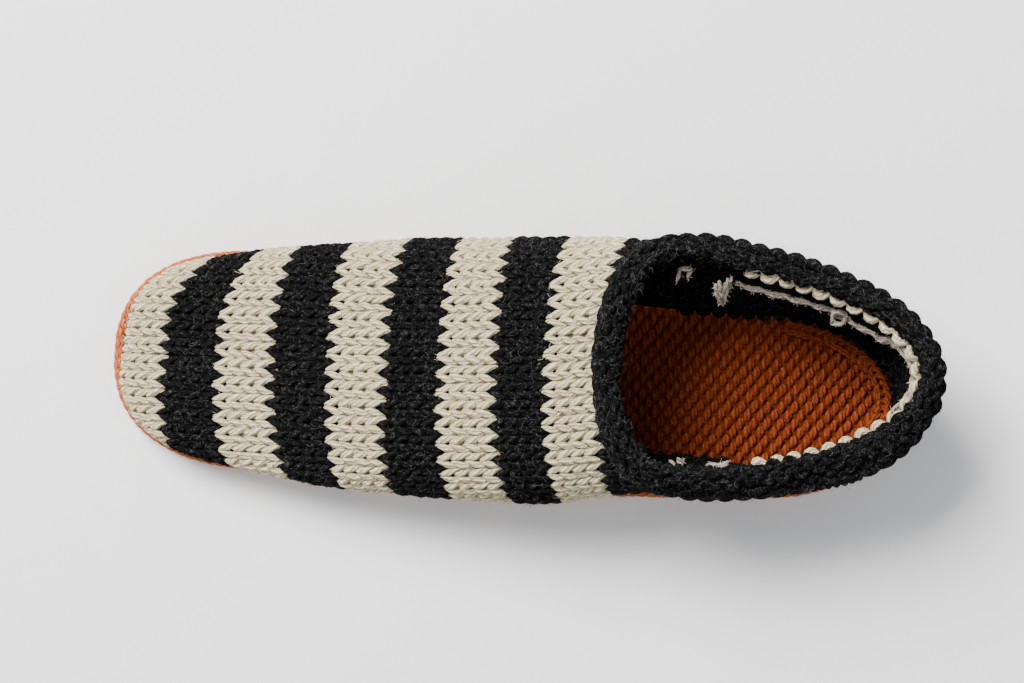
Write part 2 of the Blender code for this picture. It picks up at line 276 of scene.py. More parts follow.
def station(t):
    """The x of the foot, the widest line and the top line at t, which goes from 0 at the toe to 5 at
    the heel."""
    i = min(int(t), len(STRETCHES) - 1)
    spacing, *ends = STRETCHES[i]
    starts = STRETCHES[i - 1][1:] if i else STRETCH_START
    share = t - i
    if spacing == "opening":
        share = 1 - math.cos(share * math.pi / 2)
    if spacing == "closing":
        share = math.sin(share * math.pi / 2)
    return [a + share * (b - a) for a, b in zip(starts, ends)]


def run_lengths(points):
    """Distances along a line of points."""
    return np.concatenate([[0], np.cumsum(np.linalg.norm(np.diff(points, axis=0), axis=1))])


def values_at(at, lengths, values):
    """Values that a line has at given distances along it."""
    return np.stack([np.interp(at, lengths, values[:, k]) for k in range(values.shape[1])], axis=1)


def even(points, count):
    """A line of points again, at even steps along its length."""
    lengths = run_lengths(points)
    return values_at(np.linspace(0, lengths[-1], count), lengths, points)


def ring_of(points):
    """A line that ends where it starts."""
    return np.concatenate([points, points[:1]])


def between(grid, place):
    """The line at any place between a grid's columns, carried straight on beyond them."""
    low = int(np.clip(math.floor(place), 0, grid.shape[1] - 2))
    part = place - low
    return grid[:, low] * (1 - part) + grid[:, low + 1] * part


def rising(values, start, length):
    """A share that rises from 0 at start to 1 one length further on."""
    return np.clip((values - start) / length, 0, 1)


def section(t, side, count):
    """Points up the outside of the wall at t, evenly spaced from the foot to the top."""
    foot_x, belly_x, top_x = station(t)
    foot = np.array([foot_x, outline_y(FOOT, foot_x, side), SEAT])
    ridge_y = column(RIDGE, 1, top_x)
    if t <= THROAT:
        top = np.array([top_x, ridge_y, column(RIDGE, 2, top_x)])
    else:
        top = np.array([top_x, outline_y(OPENING, top_x, side), smooth(top_x, *zip(*OPENING_HEIGHT))])
    rise = column(BELLY, 3 if side == INNER else 4, belly_x)
    belly = np.array([belly_x, belly_y(belly_x, side), SEAT + rise * (top[2] - SEAT)])
    up = np.linspace(0, 1, 13)[:-1, None]
    lower = foot + (1 - (1 - up) ** 2) * (belly - foot)
    lower[:, 2] = (foot[2] + up * (belly[2] - foot[2]))[:, 0]
    reach = 0.0
    if t > THROAT:
        reach = abs(top[1] - ridge_y) / abs(belly[1] - ridge_y) if t < 4 else 1.0
    stop = math.acos(min(reach, 0.97) ** (CROWN_POWER / 2))
    angle = stop * np.linspace(0, 1, 41)[:, None] ** 1.3
    level, upright = math.cos(stop) ** (2 / CROWN_POWER), math.sin(stop) ** (2 / CROWN_POWER)
    out = (np.maximum(np.cos(angle), 0) ** (2 / CROWN_POWER) - level) / (1 - level)
    rising = np.sin(angle) ** (2 / CROWN_POWER) / upright
    crown = top + out * (belly - top)
    crown[:, 2] = (belly[2] + rising * (top[2] - belly[2]))[:, 0]
    return even(np.concatenate([lower, crown]), count) - BOX_MIDDLE


def unit(vectors):
    """Vectors with their length made 1."""
    return vectors / np.maximum(np.linalg.norm(vectors, axis=-1, keepdims=True), 1e-9)


class Side:
    """One side of the wall's outside as a grid of points and normals, from toe to heel and from the
    foot up."""

    def __init__(self, side):
        steps = 400
        self.t = np.linspace(0, 5, steps + 1)
        self.points = np.stack([section(t, side, 49) for t in self.t])
        along = np.gradient(self.points, self.t, axis=0)
        up = np.gradient(self.points, axis=1)
        self.normals = unit(np.cross(up, along) * side)


SIDES = {INNER: Side(INNER), OUTER: Side(OUTER)}


def join_sides():
    """The two sides share one normal where they meet: down the toe, along the top and down the heel."""
    inner, outer = SIDES[INNER], SIDES[OUTER]
    ridge = inner.t <= THROAT
    for rows, columns in ((slice(0, 1), slice(None)), (ridge, -1), (slice(-1, None), slice(None))):
        shared = unit(inner.normals[rows, columns] + outer.normals[rows, columns])
        inner.normals[rows, columns] = shared
        outer.normals[rows, columns] = shared


join_sides()


def relief(points):
    """How far the listed troughs and ridges move the wall at these points."""
    moved = np.zeros(points.shape[:-1])
    for crease in CREASES:
        away = (points - (crease.x, crease.y, crease.z)) / (crease.wide_x, crease.wide_y, crease.wide_z)
        moved += crease.out * np.exp(-(away**2).sum(axis=-1))
    return moved


for wall_side in SIDES.values():
    wall_side.points += wall_side.normals * relief(wall_side.points)[..., None]


def level_of(points, edge, side):
    """How far along the shoe points are, on sheets that lean and curve as a row of stitches does."""
    curve = edge.inner_curve if side == INNER else edge.outer_curve
    top = column(RIDGE, 2, edge.x + BOX_MIDDLE[0])
    depth = edge.depth if side == INNER else edge.outer_depth
    down = depth * np.tanh((top - points[..., 2]) / depth)
    return points[..., 0] - edge.lean * down - curve * points[..., 1] ** 2 / 1000


def edge_at(row):
    """The lean and curve of any row, between those of the stripes' edges."""
    rows = [edge.row for edge in EDGES]
    return StripeEdge(*(np.interp(row, rows, values) for values in zip(*EDGES)))


def centre_line():
    """The line down the middle of the vamp, from the throat along the top to the toe and down its
    front."""
    side = SIDES[INNER]
    top = side.points[side.t <= THROAT, -1]
    front = side.points[0]
    return np.concatenate([top[::-1], front[::-1][1:]])


def toe_edge(row):
    """A row before the first stripe edge: the same distance apart down the front of the toe."""
    first = EDGES[0]
    line = centre_line()
    lengths = run_lengths(line)
    level = level_of(line, first, INNER)
    start = np.interp(-first.x, -level, lengths)
    return first._replace(row=row, x=float(np.interp(start - row * ROW, lengths, level)))


def level_line(row, side):
    """A row's line on one side of the wall, from the middle or the opening down to the foot: points
    and normals."""
    wall = SIDES[side]
    edge = edge_at(row) if row >= 0 else toe_edge(row)
    sheet = EDGES[0] if row < 0 else edge
    level = level_of(wall.points, sheet, side) - edge.x
    found = []
    data = np.concatenate([wall.points, wall.normals], axis=2)
    for axis in (0, 1):
        low = [slice(None), slice(None)]
        high = [slice(None), slice(None)]
        low[axis], high[axis] = slice(None, -1), slice(1, None)
        low, high = tuple(low), tuple(high)
        crossing = (level[low] <= 0) != (level[high] <= 0)
        a, b = level[low][crossing], level[high][crossing]
        share = (a / (a - b))[:, None]
        found.append(data[low][crossing] * (1 - share) + data[high][crossing] * share)
    found = np.concatenate(found)
    if len(found) < 3:
        return found
    top = column(RIDGE, 1, edge.x + BOX_MIDDLE[0]) - BOX_MIDDLE[1]
    middle = SEAT + 0.4 * (found[:, 2].max() - SEAT)
    return found[np.argsort(-np.arctan2(found[:, 2] - middle, side * (found[:, 1] - top) + 0.5))]


def grid_place(values, marks):
    """Where values lie on evenly spaced marks: the mark before each one, and the share of the step
    after it."""
    place = np.clip((values - marks[0]) / (marks[1] - marks[0]), 0, len(marks) - 1.001)
    before = place.astype(int)
    return before, (place - before)[..., None]


class Sheet:
    """A knitted sheet: points and normals on a grid of row numbers and of distances across the rows."""

    def __init__(self, rows, across, points, normals):
        self.rows, self.across, self.points, self.normals = rows, across, points, normals

    def at(self, row, across):
        """Points and normals at any row numbers and distances."""
        i, u = grid_place(row, self.rows)
        j, v = grid_place(across, self.across)
        mixed = [
            grid[i, j] * (1 - u) * (1 - v)
            + grid[i + 1, j] * u * (1 - v)
            + grid[i, j + 1] * (1 - u) * v
            + grid[i + 1, j + 1] * u * v
            for grid in (self.points, self.normals)
        ]
        return mixed[0], unit(mixed[1])


def stretched(values, lengths, at):
    """Values along a line at given distances, carried straight on beyond its ends."""
    found = values_at(at, lengths, values)
    back = min(8, len(lengths) - 1)
    first = (values[back] - values[0]) / max(lengths[back] - lengths[0], 1e-6)
    last = (values[-1] - values[-1 - back]) / max(lengths[-1] - lengths[-1 - back], 1e-6)
    before = np.minimum(at - lengths[0], 0)[:, None]
    after = np.maximum(at - lengths[-1], 0)[:, None]
    return found + before * first + after * last


def vamp_sheet():
    """The vamp's rows, from the toe's front to the upright join behind the throat, and where each
    one ends."""
    rows = np.arange(-TOE_ROWS, LAST_ROW + 1.26, 0.25)
    across = np.arange(-90.0, 90.5, 1.0)
    points = np.zeros((len(rows), len(across), 3))
    normals = np.zeros_like(points)
    ends = {}
    full = {INNER: 0.0, OUTER: 0.0}
    for i, row in enumerate(rows):
        for side in (INNER, OUTER):
            line = level_line(row, side)
            if len(line) < 3:
                ends[row, side] = None
                continue
            lengths = run_lengths(line[:, :3])
            opened = line[0, 0] > THROAT_X
            if opened:
                start = full[side] - lengths[-1]
            else:
                start = 0.0
                full[side] = lengths[-1]
            mine = np.nonzero(across * side >= 0)[0]
            at = np.abs(across[mine]) - start
            points[i, mine] = stretched(line[:, :3], lengths, at)
            normals[i, mine] = unit(values_at(at, lengths, line[:, 3:]))
            ends[row, side] = (start if opened else None, start + lengths[-1])
    x, y, z = np.moveaxis(points, -1, 0)
    low = 3.0 * (1 - rising(z, SEAT, 40)) ** 2 * rising(y, 4, 14)
    points -= normals * (low * rising(x, 4, 22))[..., None]
    return Sheet(rows, across, points, normals), ends


# A stitch: how far its arms lean, how high its loop is and how square, how deep it goes through the
# cloth, how flat its arms and heads lie, how far the heads tilt, how far they nod inwards, how far the
# arms cross over, and its steps
Stitch = namedtuple("Stitch", "lean height square depth flat tilt nod cross steps")
STITCH = Stitch(
    lean=0.265, height=0.86, square=0.1, depth=0.9, flat=0.3, tilt=0.0, nod=0.0, cross=0.5, steps=16
)
BUMPS = STITCH._replace(height=0.75, depth=0.95, flat=-0.3, cross=0.0)


def stitch_path(first, last, row, stitch):
    """A row's yarn from one wale to another: across in wales, along in rows, and out of the cloth."""
    count = last - first
    steps = stitch.steps * count
    t = np.linspace(0, 2 * math.pi * count, steps + 1)
    knots = np.arange(count * 2 + 2)
    at = np.linspace(0, knots[-1], steps + 1)
    wobble = [np.interp(at, knots, rough) for rough in random.normal(size=(3, len(knots)))]
    across = first + t / (2 * math.pi) + stitch.lean * np.sin(2 * t) + 0.02 * wobble[0]
    rise = stitch.height * np.tanh(stitch.square * np.cos(t)) / math.tanh(stitch.square)
    along = row + 0.5 - rise + stitch.tilt * np.sin(2 * t) + 0.03 * wobble[1]
    wave = np.cos(2 * t)
    out = -stitch.depth * wave * (1 + stitch.flat - stitch.flat * wave**2)
    out = out + np.cos(t) * (stitch.cross * np.sin(t) ** 2 + stitch.nod) + 0.12 * wobble[2]
    thick = 0.83 + 0.17 * np.cos(4 * t)
    return across, along, out, thick * (1 + 0.05 * wobble[0])


Tube = namedtuple("Tube", "points up radius closed")
PRESSED_BELOW = 0.6
FLOOR_GAP = 0.02


def pressed(points):
    """Points with those near or under the floor pressed flat just above it."""
    z = points[:, 2]
    room = PRESSED_BELOW - FLOOR_GAP
    low = FLOOR_GAP + room * np.exp(np.minimum(z - PRESSED_BELOW, 0) / room)
    points[:, 2] = np.where(z < PRESSED_BELOW, low, z)
    return points


def tube_mesh(name, tubes, sides):
    """One joined mesh from tubes. Its UVs are the distance along the yarn in millimetres and the way
    round it."""
    verts, corners, uvs, sizes, offset = [], [], [], [], 0
    around = np.arange(sides)
    turn = around * 2 * math.pi / sides
    across, upwards = np.sin(turn)[None, :, None], np.cos(turn)[None, :, None]
    for tube in tubes:
        points, n = tube.points, len(tube.points)
        if tube.closed:
            tangent = np.roll(points, -1, axis=0) - np.roll(points, 1, axis=0)
        else:
            tangent = np.gradient(points, axis=0)
        tangent = unit(tangent)
        aside = unit(np.cross(tangent, tube.up))
        upward = np.cross(aside, tangent)
        spokes = (across * aside[:, None] - upwards * upward[:, None]) * tube.radius[:, None, None]
        verts.append(pressed((points[:, None] + spokes).reshape(-1, 3)))
        lengths = run_lengths(ring_of(points) if tube.closed else points) + 17.3 * offset % 91
        rows = n if tube.closed else n - 1
        here = np.arange(rows)[:, None] * sides
        after = (np.arange(rows)[:, None] + 1) % n * sides
        beside = (around + 1) % sides
        quads = [here + around, after + around, after + beside, here + beside]
        quads = np.stack(quads, axis=-1).reshape(-1, 4)
        along = np.stack([lengths[:-1], lengths[1:], lengths[1:], lengths[:-1]], axis=-1)[:rows]
        along = np.repeat(along[:, None, :], sides, axis=1).reshape(-1, 4)
        round_ = np.stack([around, around, around + 1, around + 1], axis=-1)
        round_ = np.repeat(round_[None] / sides, rows, axis=0).reshape(-1, 4)
        corners.append((quads + offset).ravel())
        uvs.append(np.stack([along.ravel(), round_.ravel()], axis=1))
        sizes.append(np.full(len(quads), 4))
        if not tube.closed:
            for first, way, at in ((0, 1, lengths[0]), ((n - 1) * sides, -1, lengths[-1])):
                corners.append((offset + first + around)[::way])
                uvs.append(np.stack([np.full(sides, at), around / sides], axis=1))
                sizes.append(np.array([sides]))
        offset += n * sides
    return raw_mesh(name, *(np.concatenate(lists) for lists in (verts, corners, sizes, uvs)))


def raw_mesh(name, verts, corners, sizes, uvs=None, shades=None):
    """A mesh from flat arrays: corners, the size of each face, a UV for each corner, a material for
    each face."""
    data = bpy.data.meshes.new(name)
    data.vertices.add(len(verts))
    data.vertices.foreach_set("co", (np.asarray(verts) * MM).astype(np.float32).ravel())
    data.loops.add(len(corners))
    data.loops.foreach_set("vertex_index", corners.astype(np.int32))
    data.polygons.add(len(sizes))
    starts = np.concatenate([[0], np.cumsum(sizes)[:-1]])
    data.polygons.foreach_set("loop_start", starts.astype(np.int32))
    if shades is not None:
        data.polygons.foreach_set("material_index", shades.astype(np.int32))
    data.update(calc_edges=True)
    if uvs is not None:
        layer = data.uv_layers.new(name="yarn")
        layer.data.foreach_set("uv", uvs.astype(np.float32).ravel())
    data.validate()
    data.shade_smooth()
    made = bpy.data.objects.new(name, data)
    bpy.context.scene.collection.objects.link(made)
    return made


def closed_sheet(name, outer, inner, wrap=False, shades=None):
    """A thin closed body between two grids of points. With wrap its rows close on themselves."""
    rows, columns = outer.shape[:2]
    verts = np.concatenate([outer.reshape(-1, 3), inner.reshape(-1, 3)])
    shades = [0] * rows if shades is None else shades
    faces = []
    kinds = []
    last = columns if wrap else columns - 1
    back = rows * columns
    end = rows - 1

    def at(i, j, other):
        return other * back + i * columns + j % columns

    for i in range(rows - 1):
        for j in range(last):
            faces.append((at(i, j, 0), at(i, j + 1, 0), at(i + 1, j + 1, 0), at(i + 1, j, 0)))
            faces.append((at(i, j, 1), at(i + 1, j, 1), at(i + 1, j + 1, 1), at(i, j + 1, 1)))
            kinds += [shades[i], shades[i]]
    for j in range(last):
        faces.append((at(0, j, 0), at(0, j, 1), at(0, j + 1, 1), at(0, j + 1, 0)))
        faces.append((at(end, j, 0), at(end, j + 1, 0), at(end, j + 1, 1), at(end, j, 1)))
        kinds += [shades[0], shades[end - 1]]
    if not wrap:
        for i in range(rows - 1):
            faces.append((at(i, 0, 0), at(i + 1, 0, 0), at(i + 1, 0, 1), at(i, 0, 1)))
            faces.append((at(i, last, 0), at(i, last, 1), at(i + 1, last, 1), at(i + 1, last, 0)))
            kinds += [shades[i], shades[i]]
    faces = np.array(faces)
    return raw_mesh(name, verts, faces.ravel(), np.full(len(faces), 4), shades=np.array(kinds))


# Materials
WHITE, BLACK = (1, 1, 1), (0, 0, 0)


def new_material(name, roughness, shine):
    """A material with its node tree and shader."""
    made = bpy.data.materials.new(name)
    made.use_nodes = True
    shader = made.node_tree.nodes["Principled BSDF"]
    shader.inputs["Roughness"].default_value = roughness
    shader.inputs["Specular IOR Level"].default_value = shine
    return made, made.node_tree, shader


def feed(tree, socket, value):
    """Gives a socket a number, a colour or what another node puts out."""
    if isinstance(value, (int, float)):
        socket.default_value = value
    elif isinstance(value, tuple):
        socket.default_value = (*value, 1.0)
    else:
        tree.links.new(value, socket)


def math_node(tree, operation, *values):
    node = tree.nodes.new("ShaderNodeMath")
    node.operation = operation
    for socket, value in zip(node.inputs, values):
        feed(tree, socket, value)
    return node.outputs[0]


def times(tree, a, b):
    return math_node(tree, "MULTIPLY", a, b)


def ramp(tree, value, *stops):
    node = tree.nodes.new("ShaderNodeValToRGB")
    tree.links.new(value, node.inputs[0])
    elements = node.color_ramp.elements
    while len(elements) < len(stops):
        elements.new(0.5)
    for element, (place, colour) in zip(elements, stops):
        element.position = place
        element.color = (*colour, 1.0)
    return node.outputs[0]


def noise(tree, vector, scale, detail=2.0, roughness=0.5):
    node = tree.nodes.new("ShaderNodeTexNoise")
    node.inputs["Scale"].default_value = scale
    node.inputs["Detail"].default_value = detail
    node.inputs["Roughness"].default_value = roughness
    tree.links.new(vector, node.inputs["Vector"])
    return node.outputs["Fac"]


def mixed(tree, share, a, b):
    node = tree.nodes.new("ShaderNodeMix")
    node.data_type = "RGBA"
    for place, value in ((0, share), (6, a), (7, b)):
        feed(tree, node.inputs[place], value)
    return node.outputs[2]


def combine(tree, x, y, z):
    node = tree.nodes.new("ShaderNodeCombineXYZ")
    for socket, value in zip(node.inputs, (x, y, z)):
        feed(tree, socket, value)
    return node.outputs[0]


def object_place(tree):
    return tree.nodes.new("ShaderNodeTexCoord").outputs["Object"]


def yarn_place(tree):
    """How far along the yarn a point lies and how far round it."""
    uv = tree.nodes.new("ShaderNodeUVMap")
    uv.uv_map = "yarn"
    split = tree.nodes.new("ShaderNodeSeparateXYZ")
    tree.links.new(uv.outputs[0], split.inputs[0])
    return split.outputs[0], split.outputs[1]


def add_bump(tree, shader, height, strength, distance):
    bump = tree.nodes.new("ShaderNodeBump")
    bump.inputs["Strength"].default_value = strength
    bump.inputs["Distance"].default_value = distance
    tree.links.new(height, bump.inputs["Height"])
    tree.links.new(bump.outputs[0], shader.inputs["Normal"])


# The first colour is painted shade in the grooves between the strands, and it also darkens the mottle at
# random; body is the strand's own, mottled with pale, and tip the fibres that catch the light. lay is the
# length of one twist, wool the share of the stray fibres and plies the number of strands
YarnLook = namedtuple("YarnLook", "deep body pale tip lay wool plies shine")


def yarn_material(name, look):
    """Plied wool: strands twisted round each other with painted shade in the grooves between them, a
    mottled dye, and fine curled fibres that stand out."""
    made, tree, shader = new_material(name, 0.9, look.shine)
    along, around = yarn_place(tree)
    place = object_place(tree)
    mottle = noise(tree, place, 260.0, 3.0, 0.6)
    wide = noise(tree, place, 45.0, 2.0, 0.5)
    loose = noise(tree, place, 620.0, 1.0, 0.5)
    turned = math_node(tree, "SUBTRACT", around, math_node(tree, "DIVIDE", along, look.lay))
    twisted = math_node(tree, "ADD", turned, times(tree, loose, 0.22))
    strand = math_node(tree, "PINGPONG", times(tree, twisted, look.plies), 0.5)
    crest = math_node(tree, "POWER", times(tree, strand, 2.0), 0.8)
    fibre_at = combine(tree, times(tree, along, 0.35), times(tree, twisted, 22.0), 0.0)
    fibre = noise(tree, fibre_at, 1.0, 3.0, 0.6)
    curl = noise(tree, place, 950.0, 1.0, 0.5)
    thread = math_node(tree, "ABSOLUTE", math_node(tree, "SUBTRACT", curl, 0.5))
    thread = ramp(tree, thread, (0.012, WHITE), (0.055, BLACK))
    some = ramp(tree, noise(tree, place, 700.0, 1.0, 0.5), (0.44, BLACK), (0.58, WHITE))
    thread = times(tree, thread, some)
    body = mixed(tree, mottle, look.body, look.pale)
    body = mixed(tree, times(tree, wide, 0.35), body, look.deep)
    # painted shade: the colour darkens between the strands, where shade falls in the grooves
    body = mixed(tree, math_node(tree, "SUBTRACT", 1.0, crest), body, look.deep)
    fleck = times(tree, ramp(tree, fibre, (0.60, BLACK), (0.78, WHITE)), 0.5)
    fleck = math_node(tree, "MAXIMUM", fleck, times(tree, thread, look.wool))
    tree.links.new(mixed(tree, fleck, body, look.tip), shader.inputs["Base Color"])
    rough = math_node(tree, "ADD", times(tree, fibre, 0.4), times(tree, thread, 0.35))
    height = math_node(tree, "ADD", times(tree, crest, 0.6), rough)
    add_bump(tree, shader, height, 1.0, 0.8 * MM)
    return made


CREAM = yarn_material(
    "cream_wool",
    YarnLook(
        deep=(0.32, 0.24, 0.12),
        body=(0.74, 0.635, 0.42),
        pale=(0.88, 0.79, 0.58),
        tip=(0.95, 0.88, 0.70),
        lay=16.0,
        wool=0.6,
        plies=4.0,
        shine=0.1,
    ),
)
CHARCOAL = yarn_material(
    "charcoal_wool",
    YarnLook(
        deep=(0.002, 0.002, 0.002),
        body=(0.005, 0.005, 0.005),
        pale=(0.009, 0.009, 0.009),
        tip=(0.055, 0.055, 0.056),
        lay=14.0,
        wool=0.9,
        plies=3.0,
        shine=0.03,
    ),
)
FADED = yarn_material(
    "faded_wool",
    YarnLook(
        deep=(0.20, 0.14, 0.11),
        body=(0.46, 0.37, 0.31),
        pale=(0.60, 0.52, 0.45),
        tip=(0.74, 0.67, 0.60),
        lay=9.0,
        wool=0.6,
        plies=3.0,
        shine=0.1,
    ),
)
RUST = yarn_material(
    "rust_wool",
    YarnLook(
        deep=(0.12, 0.017, 0.005),
        body=(0.26, 0.046, 0.011),
        pale=(0.33, 0.072, 0.019),
        tip=(0.43, 0.135, 0.045),
        lay=14.0,
        wool=0.5,
        plies=4.0,
        shine=0.06,
    ),
)
RUST_EDGE = yarn_material(
    "rust_wool_edge",
    YarnLook(
        deep=(0.36, 0.06, 0.015),
        body=(0.54, 0.14, 0.04),
        pale=(0.64, 0.21, 0.075),
        tip=(0.76, 0.38, 0.21),
        lay=14.0,
        wool=0.7,
        plies=4.0,
        shine=0.06,
    ),
)


def backing_shade_material(name, dark, pale):
    """A dark sheet behind the stitches, coloured as painted shade for the gaps between them, with a fine
    grain.
    """
    made, tree, shader = new_material(name, 0.95, 0.04)
    grain = noise(tree, object_place(tree), 1400.0, 3.0, 0.7)
    tree.links.new(mixed(tree, grain, dark, pale), shader.inputs["Base Color"])
    add_bump(tree, shader, grain, 0.7, 0.4 * MM)
    return made


# Painted shade: dark sheets behind the stitches that stand for the shade in the gaps between them
CREAM_BACKING_SHADE = backing_shade_material("cream_backing_shade", (0.08, 0.06, 0.04), (0.26, 0.22, 0.15))
CHARCOAL_BACKING_SHADE = backing_shade_material("charcoal_backing_shade", (0.002, 0.002, 0.002), (0.011, 0.011, 0.012))
RUST_BACKING_SHADE = backing_shade_material("rust_backing_shade", (0.06, 0.01, 0.002), (0.15, 0.025, 0.006))


def hair_material(name, dark, pale):
    """Loose fibres, each with its own shade."""
    made, tree, shader = new_material(name, 0.8, 0.1)
    along, _ = yarn_place(tree)
    own = noise(tree, combine(tree, times(tree, along, 0.05), 0.0, 0.0), 7.0, 1.0)
    tree.links.new(mixed(tree, own, dark, pale), shader.inputs["Base Color"])
    return made


CREAM_HAIR = hair_material("cream_fibres", (0.60, 0.53, 0.39), (0.86, 0.81, 0.66))
CHARCOAL_HAIR = hair_material("charcoal_fibres", (0.01, 0.01, 0.01), (0.2, 0.2, 0.2))
RUST_HAIR = hair_material("rust_fibres", (0.40, 0.08, 0.02), (0.66, 0.22, 0.08))
EDGE_HAIR = hair_material("edge_fibres", (0.70, 0.38, 0.25), (0.90, 0.68, 0.55))


def finished(piece, made, slot, *nodes):
    """Gives a piece its material and its body, and hides the solids that it stands for. Its slot is not
    used.
    """
    for one in made if isinstance(made, tuple) else (made,):
        piece.data.materials.append(one)
    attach(piece, "root")
    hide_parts(*nodes)
    return piece


# The knitting itself. The yarn's middle and both faces of the backing lie this deep under the wall's
# outside.
MIDDLE = 2.05
BACKING = MIDDLE - 0.1
VAMP_BACKING_END = MIDDLE + 0.75
HEEL_BACKING_END = MIDDLE + 0.85

# How many sides a yarn has round it, and how far the last loops stay from the wall's foot
ROUND = 8
SOLE_ROUND = 6
FOOT_CLEAR = 0.4


def squeezed(across, low, high):
    """Distances held between two limits, closing up softly near them."""
    ease = 2.0

    def held(value, limit):
        over = value - (limit - ease)
        return np.where(over > 0, limit - ease + ease * np.tanh(over / ease), value)

    if high is not None:
        across = held(across, high)
    if low is not None:
        across = -held(-across, -low)
    return across


def row_tube(
    sheet,
    row,
    first,
    last,
    low=None,
    high=None,
    stitch=STITCH,
    yarn=YARN,
    middle=MIDDLE,
    spacing=None,
    fill=True,
):
    """One row of a sheet's yarn as a tube, from wale first to wale last, held between two distances across.

    With fill, which is for the upper's rows alone, its inner loops lie on the wall's thicker foot.
    """
    across, along, out, thick = stitch_path(first, last, row, stitch)
    place = squeezed(across * WALE, low, high)
    if spacing:
        place = np.interp(place, *spacing)
    points, normals = sheet.at(along, place)
    inside = np.clip(0.5 - out / 1.2, 0, 1)[:, None] if fill else 0.0
    points = points + normals * ((out - middle)[:, None] - foot_fill(points) * inside)
    radius = yarn * thick
    ends = np.minimum(np.arange(len(radius)), np.arange(len(radius))[::-1])
    radius = radius * np.minimum(1, 0.35 + ends * 0.25)
    return Tube(points, normals, radius, False)


def stripe(row):
    """Whether a row of the vamp is cream."""
    return row < 0 or (int(row) // 4) % 2 == 1


def make_vamp():
    sheet, ends = vamp_sheet()
    tubes = {True: [], False: []}
    for row in range(-TOE_ROWS, LAST_ROW):
        inner, outer = (ends.get((row + 0.5, side)) for side in (INNER, OUTER))
        if inner is None or outer is None:
            continue
        low, high = -outer[1] + FOOT_CLEAR, inner[1] - FOOT_CLEAR
        first, last = -int(round(outer[1] / WALE + 0.1)), int(round(inner[1] / WALE + 0.1))
        if inner[0] is None and outer[0] is None:
            runs = [(first, last, low, high)]
        else:
            inner_start, outer_start = (int(math.floor((side[0] or 0) / WALE)) for side in (inner, outer))
            runs = [(inner_start, last, None, high), (first, -outer_start, low, None)]
        tubes[stripe(row)] += [row_tube(sheet, row, *run) for run in runs]
    line, up = toe_foot(5)
    tubes[True] += chain_tubes(line - up * 1.6, up, 4.2, 3.6, YARN, lift=0.3)
    finished(tube_mesh("vamp_cream", tubes[True], ROUND), CREAM, "upper", "upper")
    finished(tube_mesh("vamp_charcoal", tubes[False], ROUND), CHARCOAL, "upper", "upper")
    return sheet, ends, tubes


TOE_FRONT = 0.45


def toe_foot(column_at):
    """A line round the front of the toe near the wall's foot, with the way out of the wall."""
    parts = []
    for side in (OUTER, INNER):
        wall = SIDES[side]
        near = wall.t < TOE_FRONT
        part = np.concatenate([wall.points[near, column_at], wall.normals[near, column_at]], axis=1)
        parts.append(part[::-1] if side == OUTER else part[1:])
    both = np.concatenate(parts)
    return both[:, :3], both[:, 3:]


def foot_fill(points):
    """How much thicker the wall's inside is at its foot, on the outer side beside the throat."""
    x, y, z = np.moveaxis(points, -1, 0)
    low = np.exp(-(((z - SEAT) / 12) ** 2)) * rising(-y, 8, 8)
    return (8.5 * low * np.exp(-(((x - 50) / 26) ** 4)))[..., None]


def make_backing(sheet, ends):
    """The sheet inside the vamp's wall, which closes the small gaps between stitches; its colour is painted
    shade.
    """
    rows = [row for row in sheet.rows[::2] if row <= LAST_ROW + 0.3]
    rows = [row for row in rows if ends[row, INNER] and ends[row, OUTER]]
    share = np.linspace(0, 1, 41)
    for side, word in ((INNER, "inner"), (OUTER, "outer")):
        outer, inner, kinds = [], [], []
        for row in rows:
            start, end = ends[row, side]
            at = side * ((start or 0) + share * (end - 0.8 - (start or 0)))
            points, normals = sheet.at(np.full(len(at), row), at)
            outer.append(points - normals * BACKING)
            inner.append(points - normals * (VAMP_BACKING_END + foot_fill(points)))
            kinds.append(0 if stripe(row - 0.6) and stripe(row + 0.6) else 1)
        outer, inner = np.array(outer), np.array(inner)
        for grid in (outer, inner):
            grid[..., 2] = np.maximum(grid[..., 2], 4.5)
        if side == OUTER:
            outer, inner = inner, outer
        piece = closed_sheet("vamp_backing_" + word, outer, inner, shades=kinds)
        finished(piece, (CREAM_BACKING_SHADE, CHARCOAL_BACKING_SHADE), "upper", "upper")
    front = [toe_foot(k) for k in range(0, 19, 2)]
    outer = np.array([line - up * BACKING for line, up in front])
    inner = np.array([line - up * VAMP_BACKING_END for line, up in front])
    finished(closed_sheet("vamp_backing_toe", inner, outer), CREAM_BACKING_SHADE, "upper", "upper")


def heel_sheet():
    """The heel wall's rows, from the foot up to the opening, and the distance round from the middle
    of the heel."""
    keep = SIDES[INNER].t >= THROAT
    height = run_lengths(SIDES[INNER].points[-60])[-1]
    count = int(round(height / ROW))
    strips = {}
    for side, wall in SIDES.items():
        points, normals = wall.points[keep][::-1], wall.normals[keep][::-1]
        strips[side] = (points, normals, run_lengths(points[:, 30]))
    reach = min(lengths[-1] for _, _, lengths in strips.values())
    across = np.arange(-math.floor(reach), math.floor(reach) + 0.5, 1.0)
    rows = np.arange(-0.5, count + 1.26, 0.25)
    points = np.zeros((len(rows), len(across), 3))
    normals = np.zeros_like(points)
    for side, (grid, turns, lengths) in strips.items():
        mine = np.nonzero(across * side >= 0)[0]
        at = np.abs(across[mine])
        for i, place in enumerate(rows / count * (grid.shape[1] - 1)):
            points[i, mine] = values_at(at, lengths, between(grid, place))
            normals[i, mine] = unit(values_at(at, lengths, between(turns, place)))
    up = rows[:, None]
    y = points[..., 1]
    low = 1.9 * (1 - rising(up, 0, count)) ** 2 * rising(y, 4, 14)
    high = 3.0 * np.exp(-(((count - 1 - up) / 1.8) ** 2)) * rising(-y, 4, 14)
    flare = 3.0 * rising(up - count, -0.6, 0.6)
    points -= normals * (low + high - flare)[..., None]
    return Sheet(rows, across, points, normals), count


